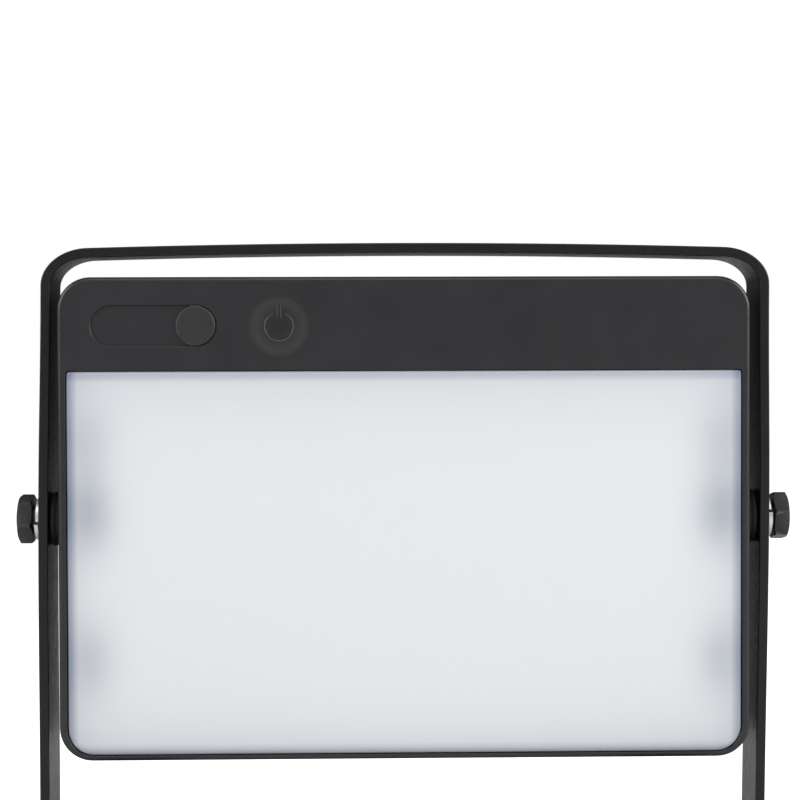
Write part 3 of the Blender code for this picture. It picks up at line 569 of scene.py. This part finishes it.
def foot(side):
    """A cross bar with sunk screw holes, its nuts and its two rubber boots."""
    low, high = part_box(f"foot_{side}")

    def outline(inset):
        radius = FOOT_CORNER - inset
        return rounded(low[0] + inset, high[0] - inset, low[1] + inset, high[1] - inset,
                       radius, radius, 8)
    r = PLAIN_R
    stations = (arc(r, low[2] + r, r, 270, 180, 3) + arc(r, high[2] - r, r, 180, 90, 3))
    bar = loft(f"foot_bar_{side}", outline, stations, "Z")
    sinks, sink_r, sink_depth = [], 0.0062, 0.0026
    for n in (1, 2):
        nut_low, nut_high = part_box(f"foot_nut_{side}_{n}")
        place = ((nut_low[0] + nut_high[0]) / 2, (nut_low[1] + nut_high[1]) / 2)
        sinks.append(turned("sink", [(0.0, low[2] - PAST), (sink_r, low[2] - PAST),
                                     (TAP_R, low[2] + sink_depth), (TAP_R, high[2] + PAST),
                                     (0.0, high[2] + PAST)], place, "Z", 32))
        hex_nut(f"{side}_{n}", place, nut_low[2], nut_high[2])
    finished(cut(bar, *sinks), "powder_coat", "stand", f"foot_{side}")
    for end, direction in (("front", -1), ("rear", 1)):
        boot(side, end, direction)


def hex_nut(which, place, low, high):
    """A plated hex nut, chamfered on both faces, on the foot's screw."""
    corners = hexagon(*place, 0.0046)
    nut = loft(f"hex_nut_{which}", None, [(corners, low), (corners, high)], "Z")
    face_r, rim_r, rim, skin = 0.0040, 0.0048, 0.0006, 0.0001
    combine(nut, "INTERSECT", [turned("chamfers", [
        (0.0, low - skin), (face_r, low - skin), (rim_r, low + rim), (rim_r, high - rim),
        (face_r, high + skin), (0.0, high + skin)], place, "Z", 48)])
    mouth_r, bore_r, flare = 0.0034, 0.0027, 0.0004
    cut(nut, turned("bore", [(0.0, low - PAST), (mouth_r, low - PAST), (bore_r, low + flare),
                             (bore_r, high - flare), (mouth_r, high + PAST),
                             (0.0, high + PAST)], place, "Z", 32))
    finished(nut, "zinc_steel", "stand", f"foot_nut_{which}")


def boot(side, end, direction):
    """A rubber boot pushed over the end of a foot, with a rounded top and a grooved sole."""
    low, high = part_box(f"foot_pad_{side}_{end}")
    bar_low, bar_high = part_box(f"foot_{side}")

    def outline(inset):
        radius = FOOT_CORNER - inset * 0.8
        return rounded(low[0] + inset, high[0] - inset, low[1] + inset, high[1] - inset,
                       radius, radius, 10)
    r, sole = 0.0016, 0.0007
    stations = (arc(sole, low[2] + sole, sole, 270, 180, 3)
                + arc(r, high[2] - r, r, 180, 90, 6))
    rubber_boot = loft(f"boot_{side}_{end}", outline, stations, "Z")
    gap, end_gap, groove_half_w, groove_depth = 0.0002, 0.0003, 0.0006, 0.0009
    mouth = low[1] - PAST if direction > 0 else high[1] + PAST
    tip = bar_high[1] + end_gap if direction > 0 else bar_low[1] - end_gap
    inner_low, inner_high = sorted((mouth, tip))
    grooves = [block("groove", (low[0] - PAST, y - groove_half_w, -PAST),
                     (high[0] + PAST, y + groove_half_w, groove_depth))
               for y in (low[1] + (high[1] - low[1]) * i / 7 for i in range(1, 7))]
    pocket = block("pocket", (bar_low[0] - gap, inner_low, bar_low[2] - gap),
                   (bar_high[0] + gap, inner_high, bar_high[2] + gap), 0.0001)
    finished(cut(rubber_boot, pocket, *grooves), "rubber", "stand", f"foot_pad_{side}_{end}")


# ---- pivot hardware ----------------------------------------------------------------------
HEX_TURN = {"left": 107.0, "right": 73.0}   # a corner of each bolt, degrees up from the front
SPLIT_AT = {"left": -8.0, "right": 17.0}    # the slit of each washer, degrees up from the front
HEX_R = 0.00925                             # from a bolt's middle to its corners
SHANK_R = 0.0049
WASHER_RADII = (0.0053, 0.0077)
SPACER_R = 0.0099


def pivot(side, sign):
    """Hex bolt, split washer and rubber spacer at one side."""
    spans = {}
    for name in ("pivot_bolt", "split_washer", "pivot_spacer"):
        low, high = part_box(f"{name}_{side}")
        spans[name] = sorted((abs(low[0]), abs(high[0])))
    hex_bolt(side, sign, *spans["pivot_bolt"], spans["split_washer"][1])
    split_washer(side, sign, *spans["split_washer"])
    spacer_disc(side, sign, *spans["pivot_spacer"])


def hex_bolt(side, sign, tip, end, washer_top):
    """A hex head, chamfered below and domed above, with a shank that reaches into the insert."""
    def out(profile):
        return [(radius, sign * x) for radius, x in profile]

    place = (0.0, PIVOT_Z)
    washer_gap, proud = 0.0007, 0.0001
    inner, outer = washer_top + washer_gap, end + proud
    corners = hexagon(*place, HEX_R, 180.0 - HEX_TURN[side])
    bolt = loft(f"hex_bolt_{side}", None, [(corners, sign * inner), (corners, sign * outer)], "X")
    dome_r, past_r = 0.0360, 0.0098
    dome = arc(0.0, outer - dome_r, dome_r, 90, 77.2, 5)
    combine(bolt, "INTERSECT", [turned("chamfers", out([
        (0.0, inner - 0.0001), (0.0082, inner - 0.0001), (0.0086, inner + 0.0002),
        (past_r, inner + 0.0010), (past_r, outer - 0.0019), *reversed(dome)]),
        place, "X", 96)])
    root = inner + 0.002
    join(bolt, turned("shank", out([(0.0, tip), (0.0042, tip), (SHANK_R, tip + 0.0008),
                                    (SHANK_R, root), (0.0, root)]), place, "X", 48))
    soft = bolt.modifiers.new("Rolled edges", "BEVEL")
    soft.width = 0.00022
    soft.segments = 2
    soft.limit_method = "ANGLE"
    soft.angle_limit = math.radians(24)
    finished(bolt, "black_steel", "head", f"pivot_bolt_{side}", smooth=40.0)


def split_washer(side, sign, low, high):
    """A square-section spring washer, cut through once, its two ends out of line."""
    bm = bmesh.new()
    steps, gap, offset = 120, 8.0, 0.0003       # the gap is in degrees
    inner, outer = WASHER_RADII
    e = 0.0002
    thick = high - low - 2 * offset
    rows = []
    for i in range(steps + 1):
        t = i / steps
        angle = math.radians(SPLIT_AT[side] + gap / 2 + (360 - gap) * t)
        middle = (low + high) / 2 + offset * (2 * t - 1)
        a, b = middle - thick / 2, middle + thick / 2
        section = ((inner, a + e), (inner + e, a), (outer - e, a), (outer, a + e),
                   (outer, b - e), (outer - e, b), (inner + e, b), (inner, b - e))
        rows.append([bm.verts.new((sign * x, -radius * math.cos(angle),
                                   PIVOT_Z + radius * math.sin(angle)))
                     for radius, x in section])
    for first, second in zip(rows, rows[1:]):
        for k in range(len(first)):
            m = (k + 1) % len(first)
            bm.faces.new((first[k], first[m], second[m], second[k]))
    bm.faces.new(rows[0])
    bm.faces.new(rows[-1])
    finished(made_object(f"spring_washer_{side}", bm), "zinc_steel", "head",
             f"split_washer_{side}")


def spacer_disc(side, sign, low, high):
    """A rubber disc between a leg and the head, rounded, with a groove round its middle."""
    bore, e, groove = WASHER_RADII[0], 0.0004, 0.0003
    middle = (low + high) / 2
    profile = [(bore, low), (SPACER_R - e, low), (SPACER_R, low + e), (SPACER_R, middle - e),
               (SPACER_R - groove, middle), (SPACER_R, middle + e), (SPACER_R, high - e),
               (SPACER_R - e, high), (bore, high)]
    disc = turned(f"spacer_disc_{side}", [(radius, sign * x) for radius, x in profile],
                  (0.0, PIVOT_Z), "X", 96)
    finished(disc, "rubber", "head", f"pivot_spacer_{side}")


# ---- the head ----------------------------------------------------------------------------
def head_shell():
    """The front housing: one moulded tub with a rolled outer edge and a broken window edge."""
    big, small, wall = 0.0016, 0.0004, FACE_Y + FACE_WALL

    def outline(station):
        kind, inset = station
        return head_outline(inset) if kind == "head" else window_outline(inset)
    rows = [(("window", 0.0), wall), (("window", 0.0), FACE_Y + small)]
    rows += [(("window", -small + inset), y) for inset, y in
             arc(0.0, FACE_Y + small, small, 0, -90, 3)[1:]]
    rows += [(("head", inset), y) for inset, y in
             arc(big, FACE_Y + big, big, 270, 180, 7)]
    back = SHELL_BACK_Y
    rows += [(("head", inset), y) for inset, y in
             arc(small, back - small, small, 180, 90, 3)]
    rows += [(("head", SIDE_WALL), back), (("head", SIDE_WALL), wall)]
    shell = loft("head_shell", outline, rows, ring=True)
    cut(shell, track_cutter(), button_cutter(),
        *[rod("insert_bore", INSERT_R, *(sign * x for x in INSERT_SPAN), (0.0, PIVOT_Z), "X", 48)
          for _, sign in SIDES])
    finished(shell, "housing_plastic", "head", "front_housing", smooth=28.0)


def rolled(inset, y, width, height, steps):
    """A convex quarter ellipse, from a flat face at y down to a side wall at the inset."""
    turns = [math.radians(90.0 * i / steps) for i in range(steps + 1)]
    return [(inset + width * (1 - math.sin(turn)), y + height * (1 - math.cos(turn)))
            for turn in turns]


def track_cutter():
    """The dimmer's stadium recess: a rounded mouth edge, and an undercut that holds the knob."""
    lip, undercut, depth = 0.0004, 0.0010, 0.0009

    def outline(grow):
        return stadium(TRACK_X, KNOB[1], TRACK_LENGTH + 2 * grow, TRACK_R + grow)
    stations = [(lip, FACE_Y - PAST)] + rolled(0.0, FACE_Y, lip, lip, 4)
    stations += [(undercut, FACE_Y + lip), (undercut, FACE_Y + depth)]
    return loft("track", outline, stations)


def button_cutter():
    """The button's hole through the face wall."""
    return rod("button_hole", BUTTON_R + BUTTON_SEAM, FACE_Y - PAST, FACE_Y + FACE_WALL + PAST,
               BUTTON, steps=96)


def lens():
    """The opal diffuser: a shallow pan whose face rolls over into the gap round it."""
    clear, rim, thick = 0.0002, 0.0024, 0.0021
    roll_w, roll_h = 0.0026, 0.0014
    face, back = lens_low[1], lens_high[1]
    stations = rolled(clear, face, roll_w, roll_h, 10)
    stations += [(clear, back), (rim, back), (rim, face + thick)]
    finished(loft("opal_lens", window_outline, stations), "opal_diffuser", "head", "diffuser",
             smooth=60.0)


def dimmer_knob():
    """The sliding knob: a flat disc with a rolled edge, and two ears that hold it in its track."""
    top, back = knob_low[1], knob_high[1]
    r, e, ear_r, ear_half_w = 0.0071, 0.0005, 0.0081, 0.0018
    rim = arc(r - e, top + e, e, 270, 360, 6)
    pocket_r, ceiling = 0.0033, back - 0.0010       # the pocket for the magnet
    knob = turned("slider_knob", [(0.0, top), (r * 0.5, top), *rim, (r, back), (pocket_r, back),
                                  (pocket_r, ceiling), (0.0, ceiling)], KNOB, steps=96)
    root, shoulder, reach = r - 0.0010, back - 0.0003, 0.010
    ears = turned("ears", [(root, shoulder), (ear_r, shoulder), (ear_r, back), (root, back)],
                  KNOB, steps=96)
    combine(ears, "INTERSECT", [block(
        "between", (KNOB[0] - ear_half_w, shoulder - PAST, KNOB[1] - reach),
        (KNOB[0] + ear_half_w, back + PAST, KNOB[1] + reach))])
    finished(join(knob, ears), "control_plastic", "dimmer", "dimmer_knob", smooth=50.0)


def power_button():
    """The dished button, blended into the face, with a generic power mark on it."""
    dish, back = 0.0018, button_high[1]
    face = button_low[1]

    def depth(radius):
        return face + dish * 0.5 * (1 + math.cos(math.pi * radius / BUTTON_R))
    profile = [(BUTTON_R * i / 24, depth(BUTTON_R * i / 24)) for i in range(25)]
    flange_r, flange, well_r, well = 0.0128, 0.0006, 0.0100, 0.0012
    profile += [(BUTTON_R, back - flange), (flange_r, back - flange), (flange_r, back),
                (well_r, back), (well_r, back - well), (0.0, back - well)]
    finished(turned("push_button", profile, BUTTON, steps=144), "button_plastic", "power",
             "power_button", smooth=24.0, slot="housing_plastic")
    power_mark(depth)


def power_mark(depth):
    """A generic on-off mark, moulded as thin raised lines on the button's dish."""
    ring_r, half, rise, sink, opening = 0.0052, 0.00022, 0.00018, 0.0003, 25.0
    base = depth(ring_r)
    ridge = [(ring_r - half, base + sink), (ring_r - half, base - rise * 0.5),
             (ring_r - half * 0.4, base - rise), (ring_r + half * 0.4, base - rise),
             (ring_r + half, base - rise * 0.5), (ring_r + half, base + sink)]
    mark = turned("power_mark", ridge, BUTTON, steps=72, start=90 + opening,
                  sweep=360 - 2 * opening)
    bar_x, bar_low, bar_high = 0.00065, BUTTON[1] + 0.0030, BUTTON[1] + 0.0078
    bars = [block("line", (BUTTON[0] + x - half, base - rise, bar_low),
                  (BUTTON[0] + x + half, base + sink, bar_high), 0.0001)
            for x in (-bar_x, bar_x)]
    for bar in bars:
        for corner in bar.data.vertices:
            corner.co.y += depth(corner.co.z - BUTTON[1]) - base
    finished(join(mark, *bars), "raised_mark", "power", smooth=50.0, slot="housing_plastic")


def back_cover():
    """The rear plate: a rolled edge, cooling ribs, sunk screw seats, and the port's lugs."""
    plate_low, plate_high = SHELL_BACK_Y + 0.0010, SHELL_BACK_Y + 0.0030
    r, margin = 0.0012, 0.0004

    def outline(inset):
        return head_outline(margin + inset)
    stations = [(0.0, plate_low), *arc(r, plate_high - r, r, 180, 90, 5)]
    cover = loft("back_plate", outline, stations)
    join(cover, *cooling_ribs(plate_high))
    seats, seat_y, far = [], plate_high - 0.0006, plate_low - 0.002
    for n in range(1, 7):
        low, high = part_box(f"cover_screw_{n}")
        place = ((low[0] + high[0]) / 2, (low[2] + high[2]) / 2)
        seats.append(turned("seat", [(0.0, seat_y), (0.0040, seat_y), (0.0046, plate_high + PAST),
                                     (0.0, plate_high + PAST)], place, steps=40))
        seats.append(rod("hole", 0.0021, far, plate_high + PAST, place, steps=24))
        cover_screw(n, place, seat_y)
    flap_low, flap_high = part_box("port_flap")
    pin = joint["flap_open"]["pos_m"]
    port_x, port_r, flare_r = (flap_low[0] + flap_high[0]) / 2, 0.0045, 0.0050
    seats.append(turned("port", [(0.0, far), (port_r, far), (port_r, plate_high - 0.0004),
                                 (flare_r, plate_high + 0.0001), (flare_r, plate_high + PAST),
                                 (0.0, plate_high + PAST)],
                        (port_x, pin[2] - PORT_BELOW_PIN), steps=48))
    cut(cover, *seats)
    join(cover, *port_lugs(port_x, plate_high, pin))
    cut(cover, rod("pin_hole", PIN_BORE_R, port_x - 0.02, port_x + 0.02, (pin[1], pin[2]), "X",
                   24))
    finished(cover, "cover_plastic", "head", "rear_cover", smooth=30.0)


def cooling_ribs(plate_high):
    """Upright ribs side by side, narrower and shorter at their tops."""
    ribs, pitch, lift = [], 0.0090, 0.0130
    for i in range(21):
        x = -0.0900 + pitch * i
        base, top = ([(x + v, HEAD_Z + lift + u) for u, v in stadium(0.0, 0.0, length, radius, 8)]
                     for length, radius in ((0.1140, 0.0011), (0.1130, 0.0006)))
        ribs.append(loft("rib", None, [(base, plate_high - 0.0010), (base, plate_high + 0.0014),
                                       (top, plate_high + 0.0020)]))
    return ribs


def port_lugs(port_x, plate_high, pin):
    """Two lugs on the plate that hold the flap's pin."""
    lugs, half_w = [], 0.0015
    for x in (port_x - 0.0093, port_x + 0.0093):
        ear = rod("ear", BARREL_R, x - half_w, x + half_w, (pin[1], pin[2]), "X")
        web = block("web", (x - half_w, plate_high - 0.0005, pin[2] - BARREL_R),
                    (x + half_w, pin[1], pin[2] + BARREL_R))
        lugs.append(join(ear, web))
    return lugs


def cover_screw(n, place, seat):
    """A pan-head screw with a cross recess, sunk in its seat."""
    head_r, height, brim, shank_r, shank, point = 0.0034, 0.0019, 0.0002, 0.0016, 0.0120, 0.0135
    slopes = [math.radians(a) for a in (0, 20, 40, 55, 70, 80)]
    profile = [(head_r * math.sin(a), seat + height * math.cos(a) ** 0.6) for a in slopes]
    profile += [(head_r, seat + brim), (shank_r, seat + brim), (shank_r, seat - shank),
                (0.0, seat - point)]
    screw = turned("screw", profile, place, steps=48)
    screw.name = f"pan_screw_{n}"
    arms, arm_half_l, arm_half_w, arm_depth = [], 0.0018, 0.0004, 0.0011
    turn = 17.0 * n             # every screw stopped at its own angle
    for angle in (turn, turn + 90.0):
        arm = block("arm", (-arm_half_l, seat + height - arm_depth, -arm_half_w),
                    (arm_half_l, seat + height + PAST, arm_half_w))
        arm.data.transform(Matrix.Translation((place[0], 0.0, place[1]))
                           @ Matrix.Rotation(math.radians(angle), 4, "Y"))
        arms.append(arm)
    finished(cut(screw, *arms), "zinc_steel", "head", f"cover_screw_{n}")


def port_flap():
    """The rubber cover over the charging socket, with a pull tab and a barrel on its pin."""
    low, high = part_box("port_flap")
    pin = joint["flap_open"]["pos_m"]
    face, thick = low[1], 0.0016
    top_r, bottom_r = 0.0010, 0.0030
    edge_low, edge_high = low[2] + 0.0020, pin[2] - 0.0035

    def outline(inset):
        return rounded(low[0] + inset, high[0] - inset, edge_low + inset, edge_high - inset,
                       max(top_r - inset, 0.0003), bottom_r - inset, 8)
    e, small = 0.0005, 0.00025
    stations = (arc(small, face + small, small, 270, 180, 3)
                + arc(e, face + thick - e, e, 180, 90, 4))
    flap = loft("flap_door", outline, stations)
    centre = (low[0] + high[0]) / 2
    barrel_half, neck_half, tab_half, bore_half = 0.0074, 0.0070, 0.0040, 0.02
    axis = (pin[1], pin[2])
    barrel = rod("barrel", BARREL_R, centre - barrel_half, centre + barrel_half, axis, "X")
    neck = block("neck", (centre - neck_half, face, pin[2] - 0.0050),
                 (centre + neck_half, face + thick, pin[2] - 0.0004), 0.0001)
    tab = block("tab", (centre - tab_half, face + 0.0001, low[2]),
                (centre + tab_half, face + 0.0025, low[2] + 0.0030), 0.0004)
    join(flap, barrel, neck, tab)
    cut(flap, rod("bore", PIN_BORE_R, centre - bore_half, centre + bore_half, axis, "X", 24))
    finished(flap, "rubber", "flap", "port_flap")


# ---- studio ------------------------------------------------------------------------------
SKY_FRONT, SKY_BACK = 0.475, 0.108      # the sky's strength in front of the lamp and behind it
SKY_CHANGE = (-0.9, 0.2)                # along Y, where the sky starts and ends to change
PAPER_GLOW = 0.85                       # only seen by the camera: it lights nothing
LAMPS = (                               # name, place, size, power
    ("left_box", (-1.6, -0.7, 0.9), 1.2, 22.0),
    ("right_box", (1.6, -0.7, 0.9), 1.2, 31.0),
    ("top_box", (0.0, -0.9, 1.7), 1.2, 8.6),
)
LENS_MM = 85.17
CAMERA_PLACE = (-0.0172, -0.6994, 0.2053)
CAMERA_TURN = (-1.390, 0.169, -1.287)   # degrees: nod, minus is down; roll; turn, minus is right


def studio():
    """White paper floor, a sky that is dim behind, and soft boxes. The camera sees white sky."""
    bm = bmesh.new()
    corners = [(-4.0, -3.0), (4.0, -3.0), (4.0, 3.0), (-4.0, 3.0)]
    bm.faces.new([bm.verts.new((x, y, -0.0002)) for x, y in corners])
    floor = made_object("paper_floor", bm)
    paper = Finish("paper_white", (0.75, 0.75, 0.75), 0.9)
    paper.shader.inputs["Emission Color"].default_value = (1.0, 1.0, 1.0, 1.0)
    eye = paper.node("ShaderNodeLightPath").outputs["Is Camera Ray"]
    paper.feed(paper.shader.inputs["Emission Strength"], paper.math("MULTIPLY", eye, PAPER_GLOW))
    floor.data.materials.append(paper.material)

    world = bpy.data.worlds.new("studio")
    world.use_nodes = True
    tree = world.node_tree
    sky = tree.nodes["Background"]
    sky.inputs[0].default_value = (1.0, 1.0, 1.0, 1.0)
    direction = tree.nodes.new("ShaderNodeSeparateXYZ")
    tree.links.new(tree.nodes.new("ShaderNodeTexCoord").outputs["Generated"],
                   direction.inputs[0])
    level = tree.nodes.new("ShaderNodeMapRange")
    bounds = (*SKY_CHANGE, SKY_FRONT, SKY_BACK)
    for socket, value in zip(("From Min", "From Max", "To Min", "To Max"), bounds):
        level.inputs[socket].default_value = value
    tree.links.new(direction.outputs["Y"], level.inputs["Value"])
    seen = tree.nodes.new("ShaderNodeMix")
    tree.links.new(tree.nodes.new("ShaderNodeLightPath").outputs["Is Camera Ray"],
                   seen.inputs[0])
    tree.links.new(level.outputs["Result"], seen.inputs[2])
    seen.inputs[3].default_value = 1.0
    tree.links.new(seen.outputs[0], sky.inputs[1])
    bpy.context.scene.world = world
    for name, place, size, power in LAMPS:
        light = bpy.data.lights.new(name, "AREA")
        light.size = size
        light.energy = power
        lamp = bpy.data.objects.new(name, light)
        lamp.location = place
        aim = Vector((0.0, 0.0, HEAD_Z)) - Vector(place)
        lamp.rotation_euler = aim.to_track_quat("-Z", "Y").to_euler()
        bpy.context.collection.objects.link(lamp)
    bpy.context.scene.view_settings.view_transform = "Standard"


def camera():
    """In front of the lamp, a little left of its middle and above it, looking nearly level."""
    data = bpy.data.cameras.new("camera")
    data.lens = LENS_MM
    data.sensor_width = 36.0
    data.clip_start = 0.01
    view = bpy.data.objects.new("camera", data)
    view.location = CAMERA_PLACE
    nod, roll, turn = CAMERA_TURN
    view.rotation_euler = [math.radians(angle) for angle in (90.0 + nod, roll, turn)]
    bpy.context.collection.objects.link(view)
    bpy.context.scene.camera = view


camera()
studio()
stand_loop()
for side, sign in SIDES:
    foot(side)
    pivot(side, sign)
head_shell()
lens()
dimmer_knob()
power_button()
back_cover()
port_flap()
